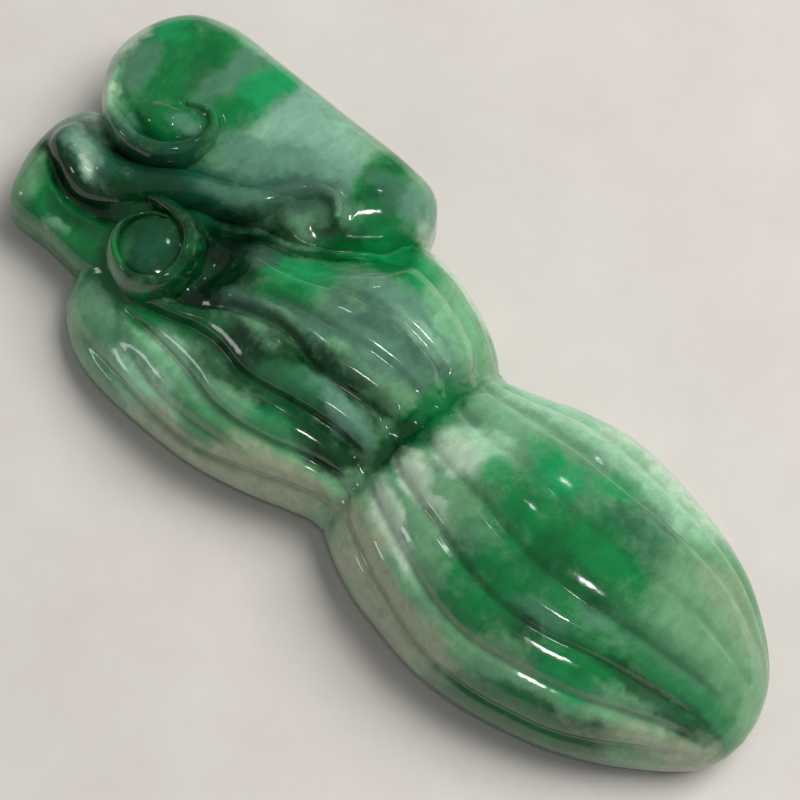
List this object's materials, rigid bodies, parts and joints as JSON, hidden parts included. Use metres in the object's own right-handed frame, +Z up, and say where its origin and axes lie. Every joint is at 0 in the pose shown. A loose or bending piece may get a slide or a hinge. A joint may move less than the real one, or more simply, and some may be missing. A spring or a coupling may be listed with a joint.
{
  "type": "jade peanut carving",
  "caption": "Jade pendant carving of a ribbed peanut pod with its cut stalk, a coiled vine and a scrolled ruyi head, lying on a flat back.",
  "frame": {"origin": "under the middle of the whole carving, on its flat back", "axes": "+X along the pod from the stalk to the tip, +Y towards the ruyi head's straight edge, +Z up out of the carved face"},
  "size_m": [0.0595, 0.0245, 0.0105],
  "materials": {
    "jade_pod": "polished",
    "jade_ruyi": "polished",
    "jade_vine": "polished"
  },
  "bodies": {
    "root": {"lower_lobe": "jade_pod", "upper_lobe": "jade_pod", "stalk": "jade_pod", "ruyi_head": "jade_ruyi", "ruyi_scroll": "jade_ruyi", "ruyi_hook": "jade_ruyi", "vine_band": "jade_vine", "vine_curl": "jade_vine", "vine_bud": "jade_vine"}
  },
  "joints": []
}
